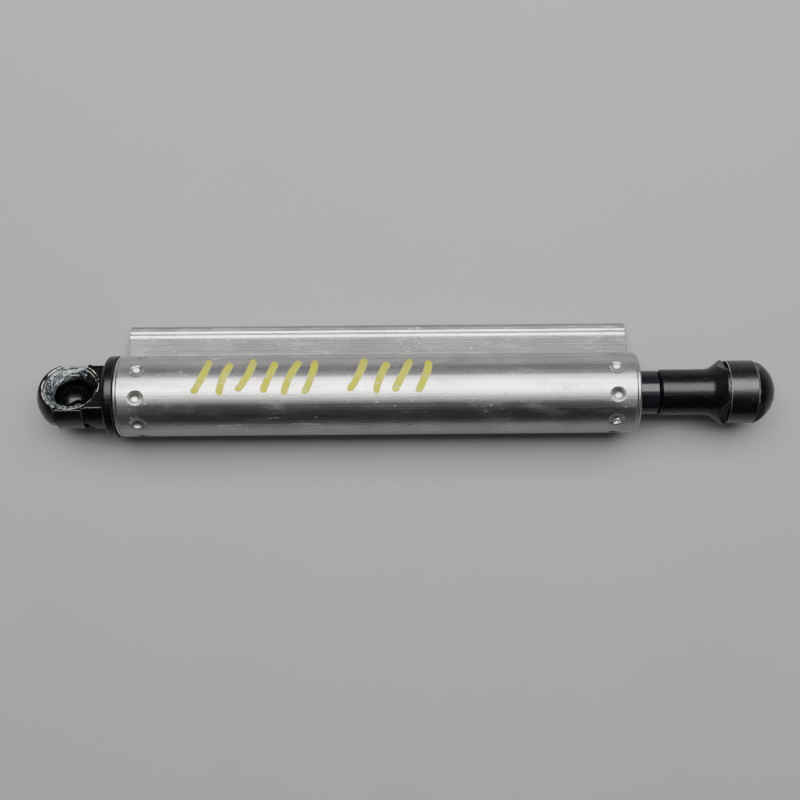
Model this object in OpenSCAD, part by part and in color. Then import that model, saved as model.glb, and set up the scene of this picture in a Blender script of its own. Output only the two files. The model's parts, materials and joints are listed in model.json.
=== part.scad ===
// Gas strut stay: a gas spring cartridge in an extruded housing with a side fin,
// and a moulded ball socket with a safety band at each end.
// Origin at the centre of the base ball seat, +X along the strut, +Z up as it lies down.

/* [Housing] */
// Outside diameter of the extruded tube
housing_d = 22; // [20:0.5:30]
// Wall of the extruded tube
housing_wall = 1.6; // [1.2:0.1:2]
// Length of the extruded tube and its fin
housing_len = 141.5; // [115:0.5:240]
// Reach of the fin, from the tube's axis to the fin's tip
fin_reach = 22.2; // [19:0.2:30]
// Thickness of the fin
fin_t = 2; // [1.4:0.1:3]
// Distance from the fin's tip to the middle of its ribbed strip
rib_inset = 3.3; // [2.5:0.1:4.5]
// Width of one rib of the strip
rib_w = 1; // [0.7:0.1:1.2]
// Height of the ribs above the fin's faces
rib_h = 0.35; // [0.2:0.05:0.6]
// Width of the groove between the two ribs
rib_gap = 0.4; // [0.2:0.1:0.8]
// Fillet between the fin and the tube
fin_fillet = 0.8; // [0.4:0.1:1.2]
// Chamfer of the tube's two cut edges
tube_edge = 0.35; // [0.2:0.05:0.5]
// Length of tube that is turned down at each end
lip_len = 1.3; // [0.8:0.1:2]
// Depth that the tube's ends are turned down by
lip_depth = 0.15; // [0.1:0.05:0.3]

/* [Crimps] */
// Radius of the round punch that makes a crimp
crimp_r = 2.3; // [1.8:0.1:3]
// Depth of a crimp below the tube's surface
crimp_depth = 1.2; // [0.8:0.1:1.6]
// Wall that is left under a crimp
crimp_wall = 1.2; // [0.9:0.1:1.5]
// Distance of a ring of crimps from the tube's end
crimp_inset = 6.4; // [5:0.1:9]
// Places around the ring, of which the fin takes one
crimp_places = 9; // [6:1:9]

/* [Ball sockets] */
// Diameter of the ball that each socket takes
ball_d = 10; // [9:0.5:11]
// Radial clearance of the ball in its seat
seat_gap = 0.05; // [0.02:0.01:0.1]
// Length of the straight wall above the ball's middle
seat_wall = 1; // [0.6:0.1:1.2]
// Radial bite of the throat that the ball snaps through
throat_bite = 0.1; // [0.05:0.05:0.2]
// Length of the throat
throat_len = 0.5; // [0.3:0.1:0.8]
// Height of the mouth's flat face above the ball's middle
mouth_h = 4.8; // [4.5:0.1:5.2]
// Radius of the mouth at its face
mouth_r = 7.7; // [7.4:0.1:7.9]
// Width of the chamfer round the mouth
mouth_edge = 0.65; // [0.4:0.05:0.8]
// Radius of the grease pocket under the ball
pocket_r = 2.2; // [1.5:0.1:2.5]
// Depth of the grease pocket below the seat
pocket_depth = 0.8; // [0.4:0.1:1]
// Diameter of the socket's head
head_d = 18; // [17:0.1:20]
// Distance from the ball's middle to the end of the dome
head_reach = 9.8; // [9.5:0.1:12]
// Radius of the dome
dome_r = 9.4; // [9:0.1:11]
// Width of the safety band
band_w = 7.4; // [5:0.1:8]
// Thickness of the safety band
band_t = 0.55; // [0.4:0.05:0.8]
// Depth of the band's outside below the head's
band_sink = 0.4; // [0.2:0.05:0.6]
// Half the opening of the band, from the mouth's direction
band_half_gap = 62; // [58:1:75]
// Width of the tabs at the band's ends
tab_w = 6.8; // [5:0.1:7]
// Reach of the tabs into the mouth, from the band's outside
tab_reach = 2.7; // [2:0.1:2.8]
// Radius of the round lands under the band
land_r = 6.3; // [5:0.1:7]
// Depth of the lands below the band's groove
land_depth = 0.4; // [0.2:0.05:0.5]
// Angle of the lands from the mouth's direction
land_angle = 120; // [110:1:130]

/* [Base socket] */
// Lean of the base socket's mouth, from +Z towards +Y
base_lean = 37; // [-180:1:180]
// Diameter of the base socket's neck
base_neck_d = 17.4; // [15:0.1:18]
// Distance from the ball's middle to the collar
base_neck_len = 9.7; // [9:0.1:14]
// Thickness of the collar
collar_t = 3; // [2:0.1:5]
// Height of the collar above the housing's surface
collar_proud = 0.2; // [0:0.05:0.6]
// Rounding of the collar's outer edge
collar_round = 1.3; // [0.5:0.1:1.5]
// Length of the spigot inside the housing
spigot_len = 14; // [12:0.5:20]
// Wall of the cored spigot under its crimp groove
spigot_wall = 2.5; // [2:0.1:4]

/* [Rod socket] */
// Lean of the rod socket's mouth, from +Z towards +Y
rod_lean = 192; // [-180:1:360]
// Diameter of the rod socket's neck
rod_neck_d = 12.6; // [12.4:0.1:15]
// Distance from the neck's face to the ball's middle
rod_socket_len = 22; // [20:0.5:30]
// Distance from the ball's middle to the end of the straight neck
taper_x = 8.3; // [7.5:0.1:10]
// Distance from the ball's middle to where the head is full
shoulder_x = 4.6; // [4.2:0.1:5.5]
// Radius of the fillet where the neck flares
taper_fillet = 4; // [2:0.1:5]
// Chamfer of the neck's edge
neck_chamfer = 0.5; // [0.2:0.1:0.8]
// Wall of the brass insert around the stud
insert_wall = 1.3; // [1:0.1:1.6]
// Length of the brass insert
insert_len = 12; // [10:0.5:12.5]

/* [Rod and piston] */
// Diameter of the piston rod
rod_d = 12; // [10:0.5:12]
// Length of rod that shows when the strut is closed
rod_show = 6.2; // [3:0.1:15]
// Chamfer of the rod's outer shoulder
rod_chamfer = 0.6; // [0.2:0.1:1]
// Diameter of the threaded stud at the rod's outer end
stud_d = 8; // [6:1:8]
// Length of the threaded stud
stud_len = 11; // [8:0.5:12]
// Diameter of the rod's spigot that carries the piston
rod_spigot_d = 7; // [5:0.5:8]
// Diameter of the rod's waist beside the piston
waist_d = 9; // [8.5:0.5:9.5]
// Length of the rod's waist
waist_len = 2; // [1:0.5:4]
// Length of the piston
piston_len = 8; // [7:0.5:12]
// Radial gap between the piston's body and the pressure tube
piston_gap = 0.2; // [0.15:0.05:0.3]
// Width of the seal ring in the piston
ring_w = 2; // [1.5:0.1:2.5]
// Width of the wear band in the piston
wear_w = 2.4; // [1.5:0.1:3]
// Radial depth of the piston's two grooves
ring_depth = 1.1; // [0.8:0.1:1.5]
// Diameter of the orifices through the piston
orifice_d = 1.2; // [0.8:0.1:1.6]
// Radius of the circle that the orifices lie on
orifice_r = 5.3; // [5.2:0.1:5.6]
// Number of orifices through the piston
orifice_count = 3; // [2:1:6]
// Thickness of the valve disc
valve_t = 0.6; // [0.4:0.1:1]
// Thickness of the piston's washer
washer_t = 1; // [0.6:0.1:1.5]
// Thickness of the piston's nut
nut_t = 3; // [2.5:0.1:4]
// Width of the piston's nut across its corners
nut_d = 12.5; // [11:0.1:13.5]
// Length of the rubber bumper on the rod
bumper_len = 4; // [3:0.5:8]
// Radial gap between the bumper and the pressure tube
bumper_gap = 0.7; // [0.4:0.1:1]
// Gap between the nut and the cartridge's base when the strut is closed
closed_gap = 0.8; // [0.5:0.1:3]

/* [Gas cartridge] */
// Wall of the pressure tube
pressure_wall = 1.2; // [1:0.1:1.5]
// Thickness of the rubber pad behind the pressure tube
pad_t = 1.2; // [0.8:0.1:2]
// Thickness of the pressure tube's base cap
cap_t = 3; // [2.5:0.1:5]
// Diameter of the ball that closes the filling port
fill_ball_d = 2.5; // [2:0.1:3]
// Length of the inner rod guide
guide_len = 7; // [5:0.5:12]
// Length of the rod seal
seal_len = 3.2; // [2.5:0.1:5]
// Thickness of the washer that backs the rod seal
backup_t = 1; // [0.8:0.1:1.5]
// Thickness of the snap ring
snap_t = 1.1; // [0.8:0.1:1.5]
// Depth of the snap ring's groove in the pressure tube
snap_depth = 0.6; // [0.4:0.1:0.8]
// Wall of pressure tube beyond the snap ring
snap_land = 1.2; // [1:0.1:2]

/* [End bush] */
// Length of the bush that closes the housing
bush_len = 13; // [12:0.5:20]
// Depth of the bush's face below the housing's end
bush_recess = 0.5; // [0.2:0.1:1.5]
// Height of the disc spring between the cartridge and the bush
spring_h = 1.1; // [0.9:0.1:1.5]
// Thickness of the disc spring's steel
spring_t = 0.4; // [0.3:0.05:0.5]
// Length of the wiper in the bush's mouth
wiper_len = 2.4; // [1.5:0.1:3]
// Radial depth of the wiper's seat
wiper_depth = 1.8; // [1.2:0.1:2]

/* [Fits] */
// Radial gap between pieces that slide into each other by hand
slip = 0.1; // [0.05:0.01:0.2]
// Radial gap between pieces that run on each other
run = 0.05; // [0.02:0.01:0.08]
// Gap between pieces that are pressed or screwed together
seated = 0.02; // [0.01:0.01:0.05]
// Gap around each crimp in the grooves that it holds
crimp_gap = 0.15; // [0.1:0.05:0.3]

/* [Hidden] */
$fn = 64;

aluminium = "silver";
black_plastic = "#1b1a1c";
black_steel = "#2b2b2e";
bright_steel = "lightgray";
rubber = "#202020";
brass = "goldenrod";
bronze = "peru";

// Radii
housing_r = housing_d / 2;
bore_r = housing_r - housing_wall;
lip_r = housing_r - lip_depth;
plug_r = bore_r - slip;
cart_r = bore_r - 2 * slip;
cyl_r = cart_r - pressure_wall;
rod_r = rod_d / 2;
head_r = head_d / 2;
ball_r = ball_d / 2;
seat_r = ball_r + seat_gap;
throat_r = ball_r - throat_bite;
throat_z = seat_wall + throat_len;
band_out = head_r - band_sink;
band_in = band_out - band_t;
groove_r = band_in - run;
collar_r = housing_r + collar_proud;
crimp_x = housing_r + crimp_r - crimp_depth;
crimp_in = crimp_r + crimp_wall;
crimp_groove_r = crimp_x - crimp_in - crimp_gap;
crimp_groove_half = sqrt(crimp_in * crimp_in - pow(crimp_x - bore_r, 2)) + crimp_gap;
ring_out = cyl_r - run;
ring_in = ring_out - ring_depth;
spigot_r = rod_spigot_d / 2;
stud_r = stud_d / 2;
insert_r = stud_r + insert_wall;
neck_r = rod_neck_d / 2;

// Air round the rod where nothing guides it
rod_air = 0.3;
// Chamfers of the rod guide and of the base spigot
guide_edge = 0.6;
spigot_edge = 0.6;
// The disc spring's bore and the snap ring's opening
disc_in = rod_r + 2 * rod_air;
snap_opening = rod_r;
// The filling port is wide for this share of the cap
port_depth = cap_t * 0.6;
// The valve disc covers the orifices, the washer leaves them open
valve_r = orifice_r + orifice_d / 2 - slip;
washer_r = orifice_r - orifice_d / 2 - slip;
// Grooves round the brass insert
insert_groove = 0.5;
insert_groove_w = 1.2;

// The strut lies on the tube and on the fin's tip, so the fin droops by this angle
fin_droop = asin((housing_r - fin_t / 2) / (fin_reach - fin_t / 2));
fin_lean = 90 + fin_droop;

// Stations along the strut, from the base ball's middle
x_collar = base_neck_len;
x_tube = x_collar + collar_t;
x_tube_end = x_tube + housing_len;
x_crimp_a = x_tube + crimp_inset;
x_crimp_b = x_tube_end - crimp_inset;
x_pad = x_tube + spigot_len;
x_cart = x_pad + pad_t;
x_bush_end = x_tube_end - bush_recess;
x_bush = x_bush_end - bush_len;
x_cart_end = x_bush - spring_h;
x_snap = x_cart_end - snap_land - snap_t;
x_backup = x_snap - backup_t;
x_seal = x_backup - seal_len;
x_guide = x_seal - guide_len;
x_nut = x_cart + cap_t + closed_gap;
x_washer = x_nut + nut_t;
x_piston = x_washer + washer_t;
x_ring = x_piston + piston_len / 4 - ring_w / 2;
x_wear = x_piston + piston_len * 3 / 4 - wear_w / 2;
x_valve = x_piston + piston_len;
x_shoulder = x_valve + valve_t;
x_bumper = x_shoulder + waist_len;
x_neck = x_tube_end + rod_show;
x_rod_ball = x_neck + rod_socket_len;

// ---- helpers ----

// Children drawn along +Z are turned to run along +X from the station x
module at_x(x) translate([x, 0, 0]) rotate([0, 90, 0]) children();

// A solid turned about the strut's axis, from points [radius, station]
module turned(points) at_x(0) rotate_extrude() polygon(points);

// A ring from the station x: inner and outer radius, length
module ring(x, inner, outer, len)
    turned([[inner, x], [outer, x], [outer, x + len], [inner, x + len]]);

// Children that point along +Z are turned about the strut's axis to lean towards +Y
module lean(angle) rotate([-angle, 0, 0]) children();

// The hollow that a ring of crimps holds a plug by
module crimp_groove(x)
    ring(x - crimp_groove_half, crimp_groove_r, housing_r, 2 * crimp_groove_half);

// ---- ball sockets: the head is centred on its ball, its mouth faces +Z and its dome -X ----

module head_solid()
    intersection() {
        at_x(-head_reach) cylinder(r = head_r, h = head_reach + shoulder_x);
        translate([dome_r - head_reach, 0, 0]) union() {
            sphere(r = dome_r);
            at_x(0) cylinder(r = dome_r, h = 2 * dome_r);
        }
    }

// Flat round lands on both flanks, which the band bridges
module round_lands()
    for (side = [-1, 1])
        lean(side * land_angle)
            translate([0, 0, groove_r - land_depth]) cylinder(r = land_r, h = head_r);

// Two notches that the band's tabs drop into
module tab_notches()
    for (side = [-1, 1])
        lean(side * band_half_gap)
            translate([-tab_w / 2 - run, -band_t - run, band_out - tab_reach - slip])
                cube([tab_w + 2 * run, 2 * band_t + 2 * run, head_r]);

// The hollow for the ball: grease pocket, seat, throat, funnel and chamfered mouth
module ball_seat() {
    translate([0, 0, -seat_r - pocket_depth]) cylinder(r = pocket_r, h = seat_r);
    sphere(r = seat_r);
    rotate_extrude() polygon([
        [0, 0], [seat_r, 0], [seat_r, seat_wall], [throat_r, seat_wall], [throat_r, throat_z],
        [mouth_r - mouth_edge, mouth_h - mouth_edge], [mouth_r, mouth_h], [mouth_r, head_r],
        [0, head_r]
    ]);
}

// What is cut from a head, whose mouth's face is flat from the dome to the station flat_end
module socket_cuts(flat_end) {
    ring(-band_w / 2 - run, groove_r, head_r + 1, band_w + 2 * run);
    round_lands();
    tab_notches();
    ball_seat();
    translate([-head_reach - 1, -head_r - 1, mouth_h])
        cube([head_reach + 1 + flat_end, head_d + 2, head_r]);
}

// Spring steel band round the back of the head, with a tab turned in at each end
module safety_band()
    color(black_steel) {
        difference() {
            ring(-band_w / 2, band_in, band_out, band_w);
            intersection_for (side = [-1, 1])
                lean(side * band_half_gap)
                    translate([-band_w, side > 0 ? -head_d : 0, -head_d])
                        cube([2 * band_w, head_d, 2 * head_d]);
        }
        for (side = [-1, 1])
            lean(side * band_half_gap)
                translate([-tab_w / 2, side > 0 ? 0 : -band_t, band_out - tab_reach])
                    cube([tab_w, band_t, tab_reach - band_t / 2]);
    }

// ---- housing ----

// The fin's outline: x runs outwards from the tube's axis, y to the face that the ribs are on
module fin_outline() {
    root = housing_r - housing_wall / 2;
    tip = fin_reach - fin_t / 2;
    fillet_y = fin_t / 2 + fin_fillet;
    fillet_x = sqrt(pow(housing_r + fin_fillet, 2) - fillet_y * fillet_y);
    touch = housing_r / (housing_r + fin_fillet);
    translate([root, -fin_t / 2]) square([tip - root, fin_t]);
    translate([tip, 0]) circle(d = fin_t);
    for (side = [-1, 1]) {
        difference() {
            polygon([
                [root, 0], [fillet_x, 0], [fillet_x, side * fillet_y],
                [fillet_x * touch, side * fillet_y * touch]
            ]);
            translate([fillet_x, side * fillet_y]) circle(r = fin_fillet);
        }
        translate([fin_reach - rib_inset + side * (rib_w + rib_gap) / 2, 0])
            polygon([
                [-rib_w / 2, 0], [-rib_w / 2, fin_t / 2],
                [-rib_w / 4, fin_t / 2 + rib_h], [rib_w / 4, fin_t / 2 + rib_h],
                [rib_w / 2, fin_t / 2], [rib_w / 2, 0]
            ]);
    }
}

// A ring of balls where the tube is crimped, one place left out for the fin
module crimp_balls(x, r)
    for (place = [1 : crimp_places - 1])
        lean(fin_lean - place * 360 / crimp_places) translate([x, 0, crimp_x]) sphere(r = r);

// What is turned off the end of the tube and fin, from x = 0 along +X
module lip_cut()
    turned([
        [lip_r - tube_edge, -1], [lip_r - tube_edge, 0], [lip_r, tube_edge], [lip_r, lip_len],
        [fin_reach + 1, lip_len], [fin_reach + 1, -1]
    ]);

// Extruded aluminium tube with its side fin, turned down and crimped at both ends
module housing_tube()
    color(aluminium)
        difference() {
            union() {
                ring(x_tube, bore_r, housing_r, housing_len);
                lean(fin_lean) at_x(x_tube) linear_extrude(housing_len) rotate(180) fin_outline();
                for (x = [x_crimp_a, x_crimp_b])
                    intersection() {
                        ring(x - crimp_in, crimp_groove_r, bore_r + housing_wall / 2, 2 * crimp_in);
                        crimp_balls(x, crimp_in);
                    }
            }
            for (x = [x_crimp_a, x_crimp_b]) crimp_balls(x, crimp_r);
            translate([x_tube, 0, 0]) lip_cut();
            translate([x_tube_end, 0, 0]) mirror([1, 0, 0]) lip_cut();
        }

// Half the section of the base moulding's turned part: neck, collar and spigot
module base_outline() {
    round_r = collar_r - collar_round;
    square([base_neck_d / 2, x_collar]);
    translate([0, x_collar]) square([round_r, collar_t]);
    translate([0, x_collar + collar_round]) square([collar_r, collar_t - collar_round]);
    intersection() {
        translate([round_r, x_collar + collar_round]) circle(r = collar_round);
        translate([0, x_collar]) square([collar_r, collar_t]);
    }
    polygon([
        [0, x_collar], [plug_r, x_collar], [plug_r, x_pad - spigot_edge],
        [plug_r - spigot_edge, x_pad], [0, x_pad]
    ]);
}

// Moulded plug that carries the base ball seat and closes the housing
module base_socket()
    color(black_plastic)
        difference() {
            union() {
                lean(base_lean) head_solid();
                at_x(0) rotate_extrude() base_outline();
            }
            lean(base_lean) socket_cuts(x_collar);
            crimp_groove(x_crimp_a);
            ring(x_tube, 0, crimp_groove_r - spigot_wall, spigot_len + 1);
        }

module base_band() lean(base_lean) safety_band();

// Rubber pad that the cartridge stands on
module cushion_pad()
    color(rubber) ring(x_pad, pad_t * 2, plug_r - spigot_edge, pad_t);

// End bush that closes the housing round the rod
module end_bush()
    color(black_plastic)
        difference() {
            ring(x_bush, rod_r + rod_air, plug_r, bush_len);
            crimp_groove(x_crimp_b);
            ring(x_bush_end - wiper_len, 1, rod_r + wiper_depth, wiper_len + 1);
        }

// Rubber wiper with a lip on the rod
module wiper_ring()
    color(rubber) {
        outer = rod_r + wiper_depth - seated;
        turned([
            [rod_r + rod_air, x_bush_end - wiper_len], [outer, x_bush_end - wiper_len],
            [outer, x_bush_end], [rod_r + wiper_depth / 2, x_bush_end - wiper_len / 4],
            [rod_r + run, x_bush_end], [rod_r + run, x_bush_end - wiper_len / 2]
        ]);
    }

// Disc spring that holds the cartridge against its pad
module disc_spring()
    color(bright_steel)
        turned([
            [disc_in, x_bush - spring_t], [cart_r, x_cart_end], [cart_r, x_cart_end + spring_t],
            [disc_in, x_bush]
        ]);

// ---- gas cartridge ----

// Drawn steel tube, grooved for the snap ring
module pressure_tube()
    color(bright_steel)
        difference() {
            ring(x_cart, cyl_r, cart_r, x_cart_end - x_cart);
            ring(x_snap - run, 1, cyl_r + snap_depth, snap_t + 2 * run);
        }

// Steel cap in the closed end, with the filling port in its middle
module base_cap()
    color(bright_steel)
        difference() {
            ring(x_cart, fill_ball_d / 4, cyl_r - seated, cap_t);
            ring(x_cart - 1, 0, fill_ball_d / 2 + seated, port_depth + 1);
        }

// Steel ball that is driven into the filling port
module fill_ball()
    color(bright_steel) translate([x_cart + port_depth - fill_ball_d / 2, 0, 0]) sphere(d = fill_ball_d);

// Bronze-filled guide that the rod runs in
module rod_guide()
    color(bronze)
        turned([
            [rod_r + run + guide_edge, x_guide], [cyl_r - seated, x_guide], [cyl_r - seated, x_seal],
            [rod_r + run, x_seal], [rod_r + run, x_guide + guide_edge]
        ]);

// Lip seal, hollow towards the gas
module rod_seal()
    color(rubber) {
        middle = (rod_r + cyl_r) / 2;
        turned([
            [rod_r + run, x_seal], [middle - seal_len / 8, x_seal], [middle, x_seal + seal_len / 2],
            [middle + seal_len / 8, x_seal], [cyl_r - seated, x_seal], [cyl_r - seated, x_backup],
            [rod_r + rod_air, x_backup], [rod_r + rod_air, x_seal + seal_len / 2]
        ]);
    }

module backup_washer()
    color(bright_steel) ring(x_backup, rod_r + rod_air, cyl_r - slip, backup_t);

// Open steel ring that is sprung into the tube's groove
module snap_ring()
    color(bright_steel)
        difference() {
            ring(x_snap, disc_in, cyl_r + snap_depth - seated, snap_t);
            translate([x_snap - 1, -snap_opening / 2, 0]) cube([snap_t + 2, snap_opening, housing_r]);
        }

// ---- rod and piston ----

// Black nitrided rod: spigot for the piston, waist, rod, and threaded stud
module piston_rod()
    color(black_steel)
        turned([
            [0, x_nut], [spigot_r - rod_chamfer / 2, x_nut], [spigot_r, x_nut + rod_chamfer / 2],
            [spigot_r, x_shoulder], [waist_d / 2, x_shoulder], [waist_d / 2, x_bumper],
            [rod_r, x_bumper], [rod_r, x_neck - rod_chamfer], [rod_r - rod_chamfer, x_neck],
            [stud_r, x_neck], [stud_r, x_neck + stud_len - rod_chamfer],
            [stud_r - rod_chamfer, x_neck + stud_len], [0, x_neck + stud_len]
        ]);

// Piston with two grooves and lengthwise orifices
module piston()
    color(bright_steel)
        difference() {
            ring(x_piston, spigot_r + seated, cyl_r - piston_gap, piston_len);
            for (groove = [[x_ring, ring_w], [x_wear, wear_w]])
                ring(groove[0] - run, ring_in - run, cyl_r, groove[1] + 2 * run);
            for (i = [0 : orifice_count - 1])
                lean(i * 360 / orifice_count) translate([x_piston - 1, 0, orifice_r])
                    at_x(0) cylinder(d = orifice_d, h = piston_len + 2);
        }

module piston_ring() color(rubber) ring(x_ring, ring_in, ring_out, ring_w);

module wear_band() color(bronze) ring(x_wear, ring_in, ring_out, wear_w);

// Thin disc that covers the orifices as the rod comes out
module valve_disc() color(bright_steel) ring(x_valve, spigot_r + seated, valve_r, valve_t);

module piston_washer() color(bright_steel) ring(x_washer, spigot_r + seated, washer_r, washer_t);

module piston_nut()
    color(bright_steel)
        at_x(x_nut) difference() {
            cylinder(d = nut_d, h = nut_t, $fn = 6);
            translate([0, 0, -1]) cylinder(r = spigot_r + seated, h = nut_t + 2);
        }

// Rubber bumper that meets the rod guide when the strut is fully out
module rebound_bumper()
    color(rubber) {
        outer = cyl_r - bumper_gap;
        soft = bumper_gap;
        turned([
            [rod_r + seated, x_bumper], [outer - soft, x_bumper], [outer, x_bumper + soft],
            [outer, x_bumper + bumper_len - soft], [outer - soft, x_bumper + bumper_len],
            [rod_r + seated, x_bumper + bumper_len]
        ]);
    }

// ---- rod socket ----

// The insert's outside, grooved so that the moulding grips it
module insert_body(gap)
    difference() {
        ring(x_neck, 0, insert_r + gap, insert_len + gap);
        for (share = [1 / 3, 2 / 3])
            ring(
                x_neck + insert_len * share - insert_groove_w / 2 + gap, insert_r - insert_groove + gap,
                insert_r + 1, insert_groove_w - 2 * gap
            );
    }

// Brass insert that is moulded into the neck
module thread_insert()
    color(brass)
        difference() {
            insert_body(0);
            ring(x_neck - 1, 0, stud_r + seated, insert_len + 2);
        }

// Half the section of the rod socket's neck and flare, with a fillet between them
module neck_outline() {
    x_taper = x_rod_ball - taper_x;
    x_full = x_rod_ball - shoulder_x;
    slope = atan2(head_r - neck_r, x_full - x_taper);
    reach = taper_fillet * tan(slope / 2);
    polygon([
        [0, x_neck], [neck_r - neck_chamfer, x_neck], [neck_r, x_neck + neck_chamfer],
        [neck_r, x_taper], [head_r, x_full], [0, x_full]
    ]);
    difference() {
        polygon([
            [neck_r, x_taper - reach], [neck_r, x_taper],
            [neck_r + reach * sin(slope), x_taper + reach * cos(slope)],
            [neck_r + taper_fillet, x_taper - reach]
        ]);
        translate([neck_r + taper_fillet, x_taper - reach]) circle(r = taper_fillet);
    }
}

// Moulded socket: neck, flare and head
module rod_socket()
    color(black_plastic)
        difference() {
            union() {
                translate([x_rod_ball, 0, 0]) lean(rod_lean) mirror([1, 0, 0]) head_solid();
                at_x(0) rotate_extrude() neck_outline();
            }
            translate([x_rod_ball, 0, 0]) lean(rod_lean) mirror([1, 0, 0]) socket_cuts(taper_x);
            insert_body(seated);
        }

module rod_band() translate([x_rod_ball, 0, 0]) lean(rod_lean) mirror([1, 0, 0]) safety_band();

housing_tube();
base_socket();
base_band();
cushion_pad();
pressure_tube();
base_cap();
fill_ball();
rod_guide();
rod_seal();
backup_washer();
snap_ring();
disc_spring();
end_bush();
wiper_ring();
piston_ring();
wear_band();
piston_rod();
piston();
valve_disc();
piston_washer();
piston_nut();
rebound_bumper();
thread_insert();
rod_socket();
rod_band();
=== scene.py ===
# %% [markdown]
# # A gas strut stay, dressed for its picture
#
# The strut is a gas spring in an extruded aluminium housing, with a moulded ball socket at each end.
# Its construction, sizes and joints are already settled in CAD, so this file loads that fixed frame
# and gives every surface its finish. Everything is in metres, in the CAD's own frame: +X runs along
# the strut from the base ball's middle, +Z is up, and the strut lies on the floor.

# %% Load the frame
import functools
import json
import math

import bmesh
import bpy
import numpy as np
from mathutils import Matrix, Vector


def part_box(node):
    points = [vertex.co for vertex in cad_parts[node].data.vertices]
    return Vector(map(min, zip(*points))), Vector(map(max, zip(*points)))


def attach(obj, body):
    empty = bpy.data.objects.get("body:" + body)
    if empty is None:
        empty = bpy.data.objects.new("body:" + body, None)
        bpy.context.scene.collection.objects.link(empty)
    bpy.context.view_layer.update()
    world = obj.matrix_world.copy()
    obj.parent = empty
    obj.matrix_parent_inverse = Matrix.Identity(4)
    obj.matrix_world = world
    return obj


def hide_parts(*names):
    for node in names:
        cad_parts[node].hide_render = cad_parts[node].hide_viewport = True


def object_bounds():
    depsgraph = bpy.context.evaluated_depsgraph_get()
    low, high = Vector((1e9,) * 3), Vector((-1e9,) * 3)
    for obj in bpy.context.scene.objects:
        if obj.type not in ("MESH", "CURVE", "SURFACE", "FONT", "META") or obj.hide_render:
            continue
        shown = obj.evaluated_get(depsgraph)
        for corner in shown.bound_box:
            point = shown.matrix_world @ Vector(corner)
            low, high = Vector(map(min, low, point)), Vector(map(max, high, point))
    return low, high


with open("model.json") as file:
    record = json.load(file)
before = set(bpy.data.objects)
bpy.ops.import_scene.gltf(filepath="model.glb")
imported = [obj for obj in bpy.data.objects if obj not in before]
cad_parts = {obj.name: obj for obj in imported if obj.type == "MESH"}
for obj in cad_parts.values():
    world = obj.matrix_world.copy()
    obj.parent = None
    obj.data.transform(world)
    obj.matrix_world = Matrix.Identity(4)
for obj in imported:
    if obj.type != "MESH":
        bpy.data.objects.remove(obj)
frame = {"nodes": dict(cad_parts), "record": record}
cad_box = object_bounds()
MM = 0.001
PER_METRE = 1000.0
nodes = frame["nodes"]
scene = bpy.context.scene
print("CAD box in mm:", [[round(c / MM, 2) for c in corner] for corner in cad_box])

# %% [markdown]
# ## The strut's own measures
#
# Later steps need the strut's axis, the housing's radius and its ends. They could be typed in again,
# but then a change in CAD would leave the finish behind. So they are read from the boxes of the CAD
# nodes and from the two ball seats in the record. Only the wall is typed in, because no box shows it.

# %% Measures
seats = {m["name"]: m for m in frame["record"]["mounts"]}
BASE_BALL = np.array(seats["base_ball_seat"]["pos_m"])
BASE_MOUTH = np.array(seats["base_ball_seat"]["axis"])
ROD_BALL = np.array(seats["rod_ball_seat"]["pos_m"])
ROD_MOUTH = np.array(seats["rod_ball_seat"]["axis"])
house_low, house_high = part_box("housing_tube")
HOUSE_R = -house_low.z
HOUSE_START, HOUSE_END = house_low.x, house_high.x
WALL = 1.6 * MM
BORE_R = HOUSE_R - WALL
FLOOR_Z = cad_box[0][2]
body_of = {n: body for body, names in frame["record"]["behaviour"]["bodies"].items() for n in names}
slot_of = {s["node"]: s["material_slot"] for s in frame["record"]["subparts"]}
print("housing radius", round(HOUSE_R / MM, 2), "from x", round(HOUSE_START / MM, 2), "to",
      round(HOUSE_END / MM, 2), "floor at", round(FLOOR_Z / MM, 2))

# %% [markdown]
# ## Camera
#
# The strut lies on a table and is seen from straight above, from a little over a foot away, with its
# axis a hair off level. A camera that looks down Z needs no aim constraint: it stands above the
# strut's middle, and a turn about Z sets the tilt. Its lens is worked out from how wide a picture of
# the strut's own plane should be.

# %% Camera
CAMERA_X, CAMERA_Y, CAMERA_HEIGHT = 89.63 * MM, -1.54 * MM, 340 * MM
CAMERA_TURN = math.radians(-0.477)
VIEW_WIDTH = 219.94 * MM
camera_data = bpy.data.cameras.new("camera")
camera = bpy.data.objects.new("camera", camera_data)
scene.collection.objects.link(camera)
camera.location = (CAMERA_X, CAMERA_Y, CAMERA_HEIGHT)
camera.rotation_euler = (0, 0, CAMERA_TURN)
camera_data.lens = camera_data.sensor_width * CAMERA_HEIGHT / VIEW_WIDTH
camera_data.clip_start = 10 * MM
scene.camera = camera
print("lens", round(camera_data.lens, 2), "mm")

# %% [markdown]
# ## Shader maths as plain sums
#
# A finish is a small sum of masks and noises. Wiring that by hand is slow to read, so one class wraps
# a socket: adding or multiplying two of them adds the Math node that does it. Any other node comes
# from one method, which sets the node's settings first and then fills or links its sockets.


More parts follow.
